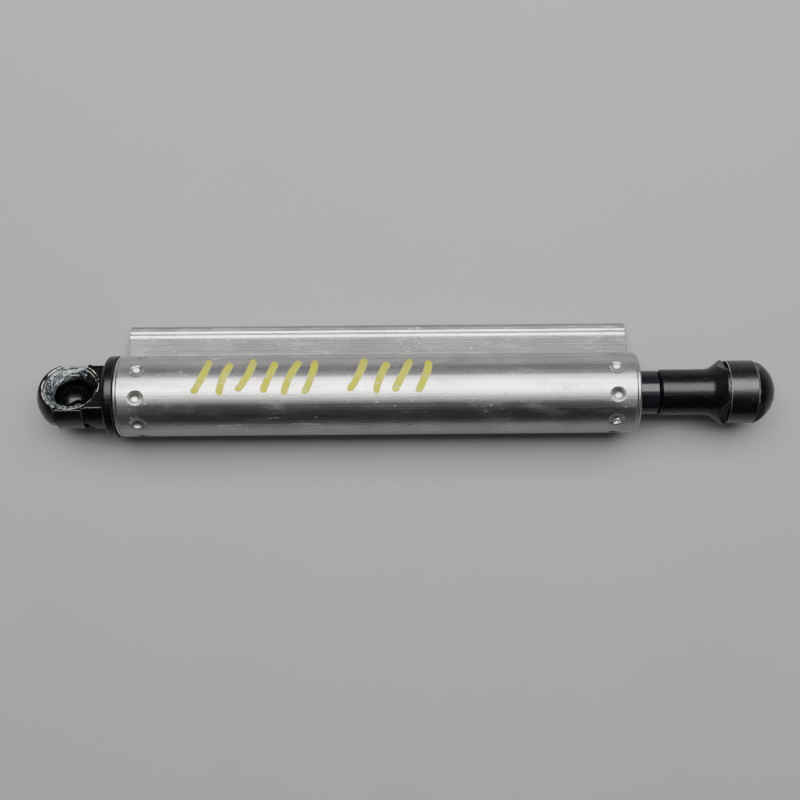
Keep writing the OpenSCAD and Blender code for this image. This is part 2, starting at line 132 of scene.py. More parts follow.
# %% Wires
class Wire:
    """A shader socket that can be used in a sum. Each operator adds one Math node."""

    def __init__(self, tree, socket=None):
        self.tree, self.socket = tree, socket

    def add(self, kind, settings=None, sockets=None, out=0):
        """A new node of that type; gives back the wire from its output number out."""
        node = self.tree.nodes.new(kind)
        for name, value in (settings or {}).items():
            setattr(node, name, value)
        for key, value in (sockets or {}).items():
            if isinstance(value, Wire):
                self.tree.links.new(value.socket, node.inputs[key])
            else:
                node.inputs[key].default_value = value
        return Wire(self.tree, node.outputs[out])

    def maths(self, operation, first, second=0.0):
        """One Math node; the square root leaves its second number unused."""
        return self.add("ShaderNodeMath", {"operation": operation}, {0: first, 1: second})

    def __add__(self, other):
        return self.maths("ADD", self, other)

    def __sub__(self, other):
        return self.maths("SUBTRACT", self, other)

    def __rsub__(self, other):
        return self.maths("SUBTRACT", other, self)

    def __mul__(self, other):
        return self.maths("MULTIPLY", self, other)

    __radd__ = __add__

    def least(self, other):
        """The smaller of the two at each point."""
        return self.maths("MINIMUM", self, other)

    def most(self, other):
        """The larger of the two at each point."""
        return self.maths("MAXIMUM", self, other)

    def size(self):
        """The value without its sign."""
        return self.maths("ABSOLUTE", self)

    def rise(self, low, high):
        """A soft step: 0 below low, 1 above high. With low above high it falls instead."""
        settings = {"interpolation_type": "SMOOTHSTEP"}
        if low < high:
            return self.add("ShaderNodeMapRange", settings, {0: self, 1: low, 2: high})
        return 1 - self.add("ShaderNodeMapRange", settings, {0: self, 1: high, 2: low})


print("a wire takes plus, minus and times, with a number or with another wire")

# %% [markdown]
# ## Noise, places and colours
#
# Wear and grain come from noise on Object coordinates. The finished pieces all sit at the origin,
# so those coordinates are the strut's own, in metres: one number says how many waves there are to a
# metre in each direction, and a long streak is noise with few waves along X and many across.


# %% Noise, places and colours
def place(paint):
    """The point's own place, as a vector in metres."""
    return paint.add("ShaderNodeTexCoord", out=3)


def parts(paint, vector=None):
    """The three numbers of a vector, or of the point's own place."""
    split = paint.add("ShaderNodeSeparateXYZ", None, {0: vector or place(paint)})
    return [Wire(paint.tree, output) for output in split.socket.node.outputs]


def noise(paint, waves, detail=3.0, rough=0.55, shift=(0, 0, 0)):
    """Noise from 0 to 1, with waves per metre along X, Y and Z."""
    spread = paint.add("ShaderNodeMapping", None, {0: place(paint), 1: shift, 3: waves})
    return paint.add("ShaderNodeTexNoise", None, {"Vector": spread, "Scale": 1.0, "Detail": detail,
                                                  "Roughness": rough})


def tint(paint, factor, first, second):
    """A colour that goes from first to second as factor goes from 0 to 1."""
    ends = {0: factor, 6: first, 7: second}
    return paint.add("ShaderNodeMix", {"data_type": "RGBA", "clamp_factor": True}, ends, out=2)


def grey(value):
    """An even grey, as a colour."""
    return (value, value, value, 1)


def dents(paint, height, depth):
    """A Bump node: height from 0 to 1 stands for depth in metres."""
    return paint.add("ShaderNodeBump", None, {"Height": height, "Distance": depth, "Strength": 1.0})


def finish(name, recipe):
    """A material: recipe(paint) gives the values or wires of its Principled shader's sockets."""
    material = bpy.data.materials.new(name)
    material.use_nodes = True
    shader = material.node_tree.nodes["Principled BSDF"]
    for socket, value in recipe(Wire(material.node_tree)).items():
        if isinstance(value, Wire):
            material.node_tree.links.new(value.socket, shader.inputs[socket])
        else:
            shader.inputs[socket].default_value = value
    print("finish", name, "has", len(material.node_tree.nodes), "nodes")
    return material


print("noise with 900 waves to a metre has its marks about", round(PER_METRE / 900, 1), "mm apart")

# %% [markdown]
# ## The bench
#
# The strut lies on a plain pale bench. A flat sheet is enough for it, as large as a small table, with
# its height taken from the CAD box, so that the strut rests on it. A slow cloud in its colour and a
# fine grain keep it from looking like paper.

# %% Floor
FLOOR_REACH = 0.9
floor_mesh = bpy.data.meshes.new("floor")
corners = np.array([(-1, -1, 0), (1, -1, 0), (1, 1, 0), (-1, 1, 0)]) * FLOOR_REACH
corners[:, 2] = FLOOR_Z
floor_mesh.from_pydata(corners.tolist(), [], [(0, 1, 2, 3)])
floor = bpy.data.objects.new("floor", floor_mesh)
scene.collection.objects.link(floor)


def bench(paint):
    """Matt grey laminate: a slow cloud in the colour and a grain too fine to count."""
    cloudy = noise(paint, (18, 18, 18), 4)
    return {"Base Color": tint(paint, cloudy, (0.270, 0.270, 0.276, 1), (0.295, 0.296, 0.303, 1)),
            "Roughness": 0.62, "Normal": dents(paint, noise(paint, (900, 900, 900), 2), 0.03 * MM)}


floor_mesh.materials.append(finish("bench", bench))
print("floor spans", 2 * FLOOR_REACH, "m each way, at", round(FLOOR_Z / MM, 2), "mm")

# %% [markdown]
# ## Studio light
#
# Metal shows its surroundings more than its own colour, so the lamps are placed by what the strut
# should mirror. One long softbox stands above and a little behind it, and gives the bright stripe on
# every round part. A wide, weaker one hangs overhead, and softens the stripe's near side. The side
# towards -Y stays dark, as in a room with its lamps on one side: that is what draws the dark band
# along the housing, so the world's glow fades towards -Y. Where the world itself is seen, past the
# floor's edge, it is an even pale grey.

# %% Studio light
GLOW_BEHIND, GLOW_FRONT, GLOW_SEEN = 0.16, 0.022, 0.29
world = bpy.data.worlds.new("studio")
scene.world = world
world.use_nodes = True
sky = Wire(world.node_tree)
background = world.node_tree.nodes["Background"]
heading = sky.add("ShaderNodeTexCoord", out=0)
behind = parts(sky, heading)[1].rise(-0.30, 0.55)
background.inputs["Color"].default_value = (0.86, 0.92, 1.0, 1)
lit = behind * GLOW_BEHIND + GLOW_FRONT
seen = sky.add("ShaderNodeLightPath", out=0)
world.node_tree.links.new((lit + seen * (GLOW_SEEN - lit)).socket, background.inputs["Strength"])


def softbox(name, centre, size, power, colour):
    """A rectangular lamp, its long side along X, turned about X to face the strut's axis."""
    light = bpy.data.lights.new(name, "AREA")
    light.shape, light.energy, light.color = "RECTANGLE", power, colour
    light.size, light.size_y = size
    lamp = bpy.data.objects.new(name, light)
    scene.collection.objects.link(lamp)
    lamp.location = centre
    lamp.rotation_euler = (-math.atan2(centre[1], centre[2]), 0, 0)
    print(name, "stands", round(math.hypot(centre[1], centre[2]), 2), "m from the axis")


softbox("key", centre=(0.13, 0.34, 0.73), size=(1.1, 0.56), power=15.5, colour=(1.0, 0.965, 0.93))
softbox("overhead", centre=(0.09, 0.05, 0.95), size=(0.9, 0.6), power=1.3, colour=(0.97, 0.985, 1.0))

# %% [markdown]
# ## Strokes and scratches
#
# Somebody has marked the housing with a yellow paint marker, and handling has scratched it. A row of
# plain slashes is all that a workshop needs to tell that a part has been looked at. Strokes could be
# painted into an image, but a shader can draw them from a few numbers: the distance to the nearest
# stroke, which is a short bent line with round ends, is below half the marker's width inside the
# paint. Scratches are the same lines, only much thinner and broken up.

# %% Marker strokes
# Each stroke: middle x, middle y, half its length, lean from +Y, bend; millimetres and degrees
STROKES = [(36.8, 4.9, 3.9, 24, 0.02), (42.4, 4.6, 3.6, 20, -0.02), (48.8, 5.1, 3.9, 27, 0.03),
           (54.6, 4.8, 3.5, 22, 0.0), (60.2, 4.9, 4.0, 25, -0.02), (65.9, 4.7, 3.7, 18, 0.02),
           (78.6, 5.2, 3.8, 26, 0.02), (84.4, 4.8, 3.5, 22, -0.03), (90.3, 5.0, 3.9, 28, 0.0),
           (96.4, 4.7, 3.6, 21, 0.02)]
STROKE_HALF_WIDTH = 1.0
# Scratches from handling, in the same terms, near the rod's end and along the side
SCRATCHES = [(128.5, 2.6, 2.2, 62, 0.02), (131.4, 1.4, 1.6, -48, 0.0), (134.8, 2.2, 2.6, 55, -0.02),
             (139.0, 1.0, 1.9, 70, 0.03), (44.0, -7.9, 3.2, 88, 0.0), (64.5, -7.7, 3.6, 91, 0.0),
             (56.0, -6.1, 1.7, 87, 0.0), (40.6, 10.1, 2.0, 80, 0.03)]
SCRATCH_HALF_WIDTH = 0.10


def stroke_gap(paint, strokes, wander):
    """Distance in mm to the nearest stroke: each turns the place into its own length and width.

    Along the stroke, only what is past half its length counts. Across it, everything counts, once
    the bend has been added as a share of the length squared.
    """
    wobble = noise(paint, (260, 260, 260), 2, shift=(3, 1, 2)) - 0.5
    x, y, _ = (axis * PER_METRE for axis in parts(paint))
    gaps = []
    for middle_x, middle_y, half, lean, bend in strokes:
        cos, sin = math.cos(math.radians(lean)), math.sin(math.radians(lean))
        dx, dy = x - middle_x + wobble * wander, y - middle_y + wobble * wander
        along, across = dx * sin + dy * cos, dx * cos - dy * sin
        across = across + along * along * bend
        past = (along.size() - half).most(0.0)
        gaps.append(paint.maths("SQRT", past * past + across * across))
    return functools.reduce(Wire.least, gaps)


def on_top(paint):
    """1 on the upper half of the housing and 0 below, for marks that are laid out from above."""
    return parts(paint)[2].rise(2 * MM, 3 * MM)


def marker_mask(paint):
    """1 inside the marker's strokes, ragged at their edges and thin in places."""
    ragged = noise(paint, (2200, 2200, 2200), 4, 0.7) * 0.5 + STROKE_HALF_WIDTH - 0.25
    edge = (ragged - stroke_gap(paint, STROKES, 0.8)).rise(-0.10, 0.10)
    thin = noise(paint, (500, 1500, 1500), 3, shift=(5, 5, 5)).rise(0.36, 0.46)
    return edge * (thin * 0.3 + 0.7) * on_top(paint)


def scratch_mask(paint):
    """1 inside the scratches, which skip and fade."""
    skips = noise(paint, (900, 900, 900), 3, 0.6, (1, 4, 4)).rise(0.42, 0.52)
    gap = stroke_gap(paint, SCRATCHES, 0.5)
    return gap.rise(SCRATCH_HALF_WIDTH * 2, 0.02) * skips * on_top(paint)


print(len(STROKES), "strokes,", 2 * STROKE_HALF_WIDTH, "mm wide, and", len(SCRATCHES), "scratches")

# %% [markdown]
# ## Aluminium from the mill
#
# The housing is pushed hot through a die, and every small flaw of the die draws a line along the
# whole length. So the metal's grain is noise that hardly changes along X and changes fast across it,
# in a thin bump and in the roughness. The bump matters most: a lamp that is mirrored in many fine
# lines spreads into a soft band across them. Over that, masks tint the colour in turn: cloudy oxide
# and grey smudges, a painted shade that darkens the side towards -Y, then pits, nicks, the scratches
# and at last the marker's paint, which isn't metal and hides the shine. All but the shade are marks of
# use.


# %% Mill aluminium
def mill_aluminium(paint):
    """Die lines, then oxide, smears, pits and nicks over them, and the marker's paint on top."""
    x, y, _ = parts(paint)
    # Die lines of three widths
    lines = noise(paint, (5, 2400, 2400), 3, 0.65)
    fine = noise(paint, (14, 7000, 7000), 2, 0.6)
    bands = noise(paint, (3, 520, 520), 4, 0.6, (2, 5, 3))
    # Marks of age and use, and where they lie
    cloud = noise(paint, (55, 90, 90), 4, 0.6, (7, 0, 0))
    smear = noise(paint, (110, 330, 330), 5, 0.7, (1, 9, 4)).rise(0.50, 0.68)
    pits = noise(paint, (1700, 1700, 1700), 2, 0.5, (2, 2, 8)).rise(0.66, 0.70)
    nicks = noise(paint, (900, 2200, 2200), 2, 0.5, (4, 6, 1)).rise(0.675, 0.72) * 0.7
    nicks = (nicks * cloud.rise(0.42, 0.55)).most(scratch_mask(paint))
    ends = (x.rise(HOUSE_START + 9 * MM, HOUSE_START + 3 * MM)
            + x.rise(HOUSE_END - 10 * MM, HOUSE_END - 4 * MM)) * cloud.rise(0.42, 0.58)
    # Painted shade: the colour darkens along the side towards -Y, which faces away from the lamps
    painted_shade = y.rise(-7.0 * MM, -9.8 * MM)
    metal = tint(paint, cloud.rise(0.36, 0.64), (0.53, 0.53, 0.515, 1), (0.66, 0.66, 0.645, 1))
    metal = tint(paint, bands.rise(0.44, 0.60) * 0.5, metal, (0.42, 0.42, 0.415, 1))
    metal = tint(paint, lines.rise(0.44, 0.60) * 0.45, metal, (0.36, 0.36, 0.36, 1))
    metal = tint(paint, smear * 0.35 + ends * 0.25, metal, (0.30, 0.30, 0.29, 1))
    # Painted shade on the side towards -Y
    metal = tint(paint, painted_shade * 0.55, metal, (0.20, 0.20, 0.19, 1))
    metal = tint(paint, pits * 0.75, metal, (0.10, 0.10, 0.10, 1))
    metal = tint(paint, nicks * 0.9, metal, (0.93, 0.93, 0.92, 1))
    marker = marker_mask(paint)
    yellow = tint(paint, cloud, (0.42, 0.44, 0.0, 1), (0.50, 0.515, 0.0, 1))
    grain = lines * 0.6 + fine * 0.4
    rough = 0.13 + grain * 0.36 + smear * 0.10 + ends * 0.08 + nicks * 0.2
    return {
        "Base Color": tint(paint, marker, metal, yellow),
        "Metallic": 1 - marker * 0.65,
        "Roughness": rough + marker * 0.45,
        "Normal": dents(paint, grain + bands * 3 + marker - pits * 0.6 + nicks, 0.016 * MM),
    }


aluminium = finish("mill_aluminium", mill_aluminium)

# %% [markdown]
# ## The housing
#
# The housing is one extrusion: a tube with a side fin, whose root is filleted and whose upper face
# carries two small ribs. The ends are turned down, and a ring of round crimps at each end bites into
# the parts inside. CAD's copy has knife edges at its crimps. Punched aluminium doesn't: its skin is
# drawn down and rolls over. So the skin is worked out anew, as a grid: columns run once round the
# outline, rows run along the outside, round the end face and back along the bore, and each point is
# drawn inwards by the crimp that is near it. The outline comes first, in the fin's own frame: OUT
# points along the fin and UP points away from its ribbed face. The fin leans down just far enough for
# its round tip to lie on the floor. Each rib's top slopes a little, which lets it catch the lamp.

# %% The housing's outline
FIN_T, FIN_REACH, FIN_FILLET = 2.0 * MM, 22.2 * MM, 0.8 * MM
FIN_TIP = FIN_REACH - FIN_T / 2
droop = math.asin((HOUSE_R - FIN_T / 2) / FIN_TIP)
OUT = np.array([0, math.cos(droop), -math.sin(droop)])
UP = np.array([0, math.sin(droop), math.cos(droop)])
# Each rib: its middle's distance from the axis, and the width of its top
RIBS = ((18.25 * MM, 0.70 * MM), (19.6 * MM, 0.42 * MM))
RIB_STRIP = (17.3 * MM, 20.5 * MM)
RIB_HEIGHT, RIB_SLOPE, RIB_SIDE = 0.35 * MM, 0.29, 0.12 * MM
ROOT_ANGLE = math.asin((FIN_T / 2 + FIN_FILLET) / (HOUSE_R + FIN_FILLET))


def soft_step(value, low, high):
    """0 below low and 1 above high, with the cubic 3t^2 - 2t^3 between them."""
    t = np.clip((value - low) / (high - low), 0, 1)
    return t * t * (3 - 2 * t)


def rib_height(gap, half):
    """A rib's height: its top slopes up towards the fin's tip, and both its sides are steep."""
    top = RIB_HEIGHT - RIB_SLOPE * (half - gap)
    return top * soft_step(half + RIB_SIDE - np.abs(gap), 0, RIB_SIDE)


def fin_columns():
    """The fin's outline from its lower root out to the round tip and back: (out, up) in metres.

    The upper face carries the ribs. The lower one has the same fillet mirrored, and is flat.
    """
    foot = (HOUSE_R + FIN_FILLET) * math.cos(ROOT_ANGLE)
    turn = np.linspace(math.pi + ROOT_ANGLE, 1.5 * math.pi, 7)[1:]
    fillet = np.stack([foot + FIN_FILLET * np.cos(turn),
                       FIN_T / 2 + FIN_FILLET + FIN_FILLET * np.sin(turn)], 1)
    flat = np.concatenate([np.linspace(foot, RIB_STRIP[0] - 0.1 * MM, 7)[1:],
                           np.linspace(*RIB_STRIP, 80), [FIN_TIP - 0.3 * MM]])
    ribs = sum(rib_height(flat - middle, width / 2) for middle, width in RIBS)
    upper = np.stack([flat, FIN_T / 2 + ribs], 1)
    lower = np.stack([np.linspace(foot, FIN_TIP, 12)[1:-1], np.full(10, FIN_T / 2)], 1)
    end = np.linspace(-math.pi / 2, math.pi / 2, 13)
    nose = np.stack([FIN_TIP + FIN_T / 2 * np.cos(end), FIN_T / 2 * np.sin(end)], 1)
    mirror = np.array([1, -1])
    return np.concatenate([fillet * mirror, lower * mirror, nose, upper[::-1], fillet[::-1]])


tube_angles = np.linspace(ROOT_ANGLE, 2 * math.pi - ROOT_ANGLE, 420)
fin_points = fin_columns()
print("outline:", len(tube_angles), "columns on the tube and", len(fin_points), "on the fin")

# %% [markdown]
# ## Crimps
#
# Each crimp is a ball's dent. On a ray at angle a from the crimp's middle and at distance d along the
# tube, the ball's surface is at c*cos(a) - sqrt(r*r - (c*sin(a))**2 - d*d), where c is the distance of
# the ball's centre from the axis and r its radius. Past the ball's edge the surface carries on as a
# steep skirt. A smooth minimum of that and the tube's own radius leaves the rolled rim. One crimp on
# the real strut was struck badly and is torn: it is near the rod, on the upper side towards -Y. So
# that one gets a few ridges.

# %% Crimps
CRIMP_R, CRIMP_CENTRE = 2.3 * MM, 12.1 * MM
CRIMP_DEGREES = range(40, 321, 40)
CRIMP_X = (HOUSE_START + 6.4 * MM, HOUSE_END - 6.4 * MM)
CRIMP_SKIRT = 6  # how steeply the skirt climbs
ROLL = 0.11 * MM
TORN = (CRIMP_X[1], 160)  # the torn crimp's ring, and its angle from the fin in degrees


def ball_dent(a, d):
    """The punch's surface at angle a and distance d from its middle; none a radian or more away."""
    depth = CRIMP_R**2 - (CRIMP_CENTRE * np.sin(a))**2 - d**2
    ball = CRIMP_CENTRE * np.cos(a) - np.sqrt(np.maximum(depth, 0))
    beyond = np.hypot(CRIMP_CENTRE * np.sin(a), d) - CRIMP_R
    skirt = CRIMP_CENTRE * np.cos(a) + CRIMP_SKIRT * beyond
    return np.where(np.abs(a) < 1, np.where(depth > 0, ball, skirt), 1)


def torn_ridges(a, d):
    """Ridges left by a second blow: two crossed waves, and a step up on one side."""
    waves = np.sin(a * 95 + 1.2 * np.sin(d * 3900)) * np.sin(d * 2100 + 14 * a)
    return 0.12 * MM * waves + 0.16 * MM * soft_step(a, -0.02, 0.12)


def crimped(x, angle):
    """The radius of the skin at station x and angle, drawn in by each crimp in turn."""
    radius = np.full(np.broadcast(x, angle).shape, HOUSE_R)
    for station in CRIMP_X:
        for degrees in CRIMP_DEGREES:
            a, d = angle - math.radians(degrees), x - station
            dent = ball_dent(a, d)
            if (station, degrees) == TORN:
                dent = dent + torn_ridges(a, d)
            mix = np.clip(0.5 + (radius - dent) / (2 * ROLL), 0, 1)
            radius = radius * (1 - mix) + dent * mix - ROLL * mix * (1 - mix)
    return radius


print("crimps:", len(CRIMP_X) * len(CRIMP_DEGREES), "with", CRIMP_R / MM, "mm radius")

# %% [markdown]
# ## The housing's rows
#
# A turned lip stands at each end, where the fin has been cut away too. So the rows there are plain
# circles, and the fin's columns lie on them as a fan that fills the gap in the circle. Rows are dense
# where a crimp or an edge needs them and sparse between. The chamfer at each end is a little ragged,
# as a sawn and quickly deburred edge is.


# %% The housing's rows
LIP_LEN, LIP_R, EDGE = 1.3 * MM, HOUSE_R - 0.15 * MM, 0.35 * MM
STEP = 0.06 * MM
over_crimp = np.arange(-3.1, 3.11, 0.17) * MM
plain = np.linspace(CRIMP_X[0] + 4 * MM, CRIMP_X[1] - 4 * MM, 40)
outer_x = np.concatenate([[HOUSE_START + LIP_LEN, HOUSE_START + LIP_LEN + STEP],
                          CRIMP_X[0] + over_crimp, plain, CRIMP_X[1] + over_crimp,
                          [HOUSE_END - LIP_LEN - STEP, HOUSE_END - LIP_LEN]])


def lip_rows(end, inward):
    """Stations and radii from the bore over the chamfered edge to the lip's root."""
    radii = [BORE_R, BORE_R + 0.08 * MM, LIP_R - EDGE - 0.05 * MM, LIP_R - EDGE + 0.04 * MM,
             LIP_R - 0.06 * MM, LIP_R, LIP_R, LIP_R]
    steps = [0.08 * MM, 0, 0, 0.03 * MM, EDGE - 0.05 * MM, EDGE + 0.05 * MM, 0.7 * MM, LIP_LEN]
    return [(end + inward * step, radius) for step, radius in zip(steps, radii)]


start_rows = lip_rows(HOUSE_START, 1)
end_rows = lip_rows(HOUSE_END, -1)[::-1]
bore_rows = [(x, BORE_R) for x in np.linspace(HOUSE_END - 1 * MM, HOUSE_START + 1 * MM, 8)]
fan = np.linspace(-ROOT_ANGLE, ROOT_ANGLE, len(fin_points) + 2)[1:-1]
column_angles = np.concatenate([tube_angles, fan + 2 * math.pi])
spokes = np.outer(np.cos(column_angles), OUT) + np.outer(np.sin(column_angles), UP)


def circles(rows):
    """Rows of points on circles: each column's spoke times the row's radius, at the row's station.

    The rows on the chamfer's inner edge are shifted along X by a product of three sine waves.
    """
    x, r = np.array(rows).T
    grid = spokes[None] * r[:, None, None]
    ragged = np.sin(column_angles * 23) * np.sin(column_angles * 7.3 + 1) * np.sin(column_angles * 61)
    edge = (np.abs(r - (LIP_R - EDGE)) < 0.06 * MM)[:, None]
    grid[:, :, 0] = x[:, None] + np.where(edge, ragged[None] * 0.035 * MM, 0)
    return grid


def housing_skin():
    """Rows of points: circles on the lips and in the bore, the whole outline between the lips.

    Between the lips a tube's point is its spoke times the crimped radius, and a fin's point is
    out times OUT plus up times UP. Both then take the row's station as their X.
    """
    radius = crimped(outer_x[:, None], tube_angles[None])
    tube = radius[:, :, None] * spokes[None, :len(tube_angles)]
    tube[:, :, 0] = outer_x[:, None]
    fin = fin_points[:, :1] * OUT + fin_points[:, 1:] * UP
    fin = np.repeat(fin[None], len(outer_x), 0)
    fin[:, :, 0] = outer_x[:, None]
    body = np.concatenate([tube, fin], 1)
    return np.concatenate([circles(start_rows), body, circles(end_rows), circles(bore_rows)])


skin = housing_skin()
print("housing grid:", skin.shape[0], "rows of", skin.shape[1], "points")

# %% [markdown]
# ## A mesh from a grid
#
# A grid of points becomes a mesh by joining each point with its neighbours in the next column and the
# next row. Columns and rows both close round, like the skin of a ring, so the housing has no open
# border. The mesh then takes the place of CAD's housing and rides on the same body.


# %% A mesh from a grid
def grid_piece(name, points):
    """A piece from a grid of points that closes round its columns and round its rows."""
    rows, columns = points.shape[:2]
    row, column = np.meshgrid(np.arange(rows), np.arange(columns), indexing="ij")
    next_row, next_column = (row + 1) % rows, (column + 1) % columns
    corner = [row * columns + column, row * columns + next_column,
              next_row * columns + next_column, next_row * columns + column]
    faces = np.stack([c.ravel() for c in corner], 1)
    mesh = bpy.data.meshes.new(name)
    mesh.from_pydata(points.reshape(-1, 3).tolist(), [], faces.tolist())
    mesh.validate()
    mesh.shade_smooth()
    piece = bpy.data.objects.new(name, mesh)
    scene.collection.objects.link(piece)
    print(name, "has", len(mesh.polygons), "faces")
    return piece


housing = grid_piece("housing", skin)
housing.data.materials.append(aluminium)
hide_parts("housing_tube")
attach(housing, body_of["housing_tube"])

# %% [markdown]
# ## Moulded and pressed copies
#
# The sockets are injection mouldings, and their bands are pressed from strip: neither has a knife
# edge. A Bevel modifier could round the edges, but CAD's triangles are long slivers that it folds
# over. Remeshing a merged copy to small even cells rounds every edge by about one cell, as a mould
# does. A few rounds of smoothing that alternately shrink and swell the surface take out the cell
# pattern and leave the size alone. The same even mesh then tells where its edges are: a point that
# stands proud of its neighbours is on a convex edge, where use rubs a part bright.

# %% Smoothing, and finding edges
SHRINK, SWELL = 0.5, -0.53
EDGE_GAIN, EDGE_BLURS = 8, 2


def mesh_arrays(mesh):
    """The vertices and the two ends of each edge, as arrays."""
    points = np.empty(len(mesh.vertices) * 3)
    mesh.vertices.foreach_get("co", points)
    edges = np.empty(len(mesh.edges) * 2, int)
    mesh.edges.foreach_get("vertices", edges)
    return points.reshape(-1, 3), edges.reshape(-1, 2)


def neighbour_mean(points, edges):
    """The mean of each vertex's neighbours."""
    total, count = np.zeros_like(points), np.zeros(len(points))
    for a, b in ((0, 1), (1, 0)):
        count += np.bincount(edges[:, a], minlength=len(points))
        for axis in range(points.shape[1]):
            total[:, axis] += np.bincount(edges[:, a], points[edges[:, b], axis], len(points))
    return total / count[:, None]


def smooth_even(mesh, rounds):
    """Each round moves the points halfway to their neighbours' mean, then back by a little more."""
    points, edges = mesh_arrays(mesh)
    for share in [SHRINK, SWELL] * rounds:
        points = points + share * (neighbour_mean(points, edges) - points)
    mesh.vertices.foreach_set("co", points.ravel())
    mesh.update()


def mark_edges(mesh, cell):
    """The attribute edge: how far each point stands out from its neighbours, from 0 to 1.

    It is the distance from the neighbours' mean along the normal, in cells, blurred and scaled up.
    """
    points, edges = mesh_arrays(mesh)
    normals = np.empty(len(points) * 3)
    mesh.vertices.foreach_get("normal", normals)
    proud = np.sum((points - neighbour_mean(points, edges)) * normals.reshape(-1, 3), 1) / cell
    proud = proud[:, None]
    for _ in range(EDGE_BLURS):
        proud = 0.5 * proud + 0.5 * neighbour_mean(proud, edges)
    layer = mesh.attributes.new("edge", "FLOAT", "POINT")
    layer.data.foreach_set("value", np.clip(proud[:, 0] * EDGE_GAIN, 0, 1).astype(np.float32))


print("smoothing moves points by", SHRINK, "and then by", SWELL, "of the way to their neighbours")

# %% [markdown]
# ## Even copies
#
# With those two steps at hand, four CAD nodes are copied. Corners that lie at the same place are
# merged first, because the remesh needs a closed surface. The bands are only half a
# millimetre thick, so their cells are smaller. The modifier is applied at once, and what it made is
# the mesh that the next steps work on.


# %% Even copies of CAD nodes
def even_copy(node, name, cell, rounds=4):
    """A merged, remeshed and smoothed copy of a CAD node, which takes the node's place."""
    work = bmesh.new()
    work.from_mesh(nodes[node].data)
    bmesh.ops.remove_doubles(work, verts=work.verts, dist=0.002 * MM)
    merged = bpy.data.meshes.new(name)
    work.to_mesh(merged)
    work.free()
    piece = bpy.data.objects.new(name, merged)
    scene.collection.objects.link(piece)
    remesh = piece.modifiers.new("even", "REMESH")
    remesh.mode, remesh.voxel_size = "VOXEL", cell
    evaluated = piece.evaluated_get(bpy.context.evaluated_depsgraph_get())
    mesh = bpy.data.meshes.new_from_object(evaluated)
    piece.modifiers.clear()
    piece.data = mesh
    mesh.name = name
    smooth_even(mesh, rounds)
    mark_edges(mesh, cell)
    mesh.shade_smooth()
    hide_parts(node)
    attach(piece, body_of[node])
    print(name, "has", len(mesh.polygons), "faces")
    return piece


base_socket = even_copy("base_socket", "base_moulding", 0.215 * MM)
rod_socket = even_copy("rod_socket", "rod_moulding", 0.2 * MM)
base_band = even_copy("base_band", "base_safety_band", 0.12 * MM, 3)
rod_band = even_copy("rod_band", "rod_safety_band", 0.12 * MM, 3)

# %% [markdown]
# ## Places in a ball seat
#
# Grease and wear in a socket follow its mouth, which leans at an odd angle. So two numbers are worked
# out for each point: how high it lies along the mouth's axis, and how far it is from that axis. With
# them a ring on the mouth's rim is one band of distance and one of height. The sharp rim gets a
# painted
# highlight: two thin pale rings that stand in for the glints on its edges. Edges anywhere else come
# from the attribute that the even copies carry.


# %% Masks of the ball seats
def seat_place(paint, ball, mouth):
    """Height above the ball's middle along the mouth's axis, and distance from that axis, in mm."""
    offset = place(paint)
    offset = paint.add("ShaderNodeVectorMath", {"operation": "SUBTRACT"}, {0: offset, 1: tuple(ball)})
    height = paint.add("ShaderNodeVectorMath", {"operation": "DOT_PRODUCT"},
                       {0: offset, 1: tuple(mouth)}, out=1)
    reach = paint.add("ShaderNodeVectorMath", {"operation": "LENGTH"}, {0: offset}, out=1)
    beside = paint.maths("SQRT", (reach * reach - height * height).most(0.0))
    return height * PER_METRE, beside * PER_METRE


def grease_mask(paint, ball, mouth):
    """1 on the funnel's wall and in the seat, streaky, and thin towards the rim."""
    height, beside = seat_place(paint, ball, mouth)
    inside = beside.rise(7.6, 7.3) * height.rise(-5.6, -4.0)
    streaks = noise(paint, (260, 420, 420), 4, 0.55, (2, 3, 4))
    pushed = (parts(paint)[0] * PER_METRE - float(ball[0]) * PER_METRE).rise(4.5, -5.0)
    return inside * (streaks * 0.5 + height.rise(0.2, 3.0) * pushed * 0.6).rise(0.28, 0.80)


def painted_rim_highlight(paint, ball, mouth):
    """1 on two thin rings, a painted highlight on the outer and the inner edge of the mouth's chamfer.
    """
    height, beside = seat_place(paint, ball, mouth)
    outer = (beside - 7.68).size().rise(0.16, 0.07) * height.rise(4.2, 4.5)
    inner = (beside - 7.02).size().rise(0.14, 0.06) * height.rise(3.6, 3.9)
    broken = noise(paint, (500, 500, 500), 3, 0.6, (9, 9, 2)).rise(0.40, 0.58)
    return (outer + inner * 0.6) * broken


def edge_mask(paint, low, high):
    """1 on edges that stick out, broken up by noise."""
    edge = paint.add("ShaderNodeAttribute", {"attribute_name": "edge"}, out=2)
    return (edge - noise(paint, (900, 900, 900), 3, 0.6, (8, 1, 3)) * 0.45).rise(low, high)


print("the mouths lean from straight up by",
      [round(math.degrees(math.acos(mouth[2])), 1) for mouth in (BASE_MOUTH, ROD_MOUTH)], "degrees")

# %% [markdown]
# ## Black nylon
#
# The mouldings are glass-filled nylon. Their skin is almost black and fairly glossy, with the faint
# cloud of glass that lies near the surface, and with slight rings where the tool was turned. Handling
# rubs the edges pale and leaves a few specks of dust. A ball seat still holds its grease, a milky
# blue-grey smear on the funnel's wall, thickest where the ball's neck pushed it. One recipe serves
# all three mouldings, and only those that state a mouth get the grease and the rim's painted
# highlight.

# %% Nylon, with and without grease
# Squares of the distance from the ball's middle, in square mm: the seat's own gloss lies inside them
SEAT_OUTSIDE, SEAT_INSIDE = 31.0, 27.0


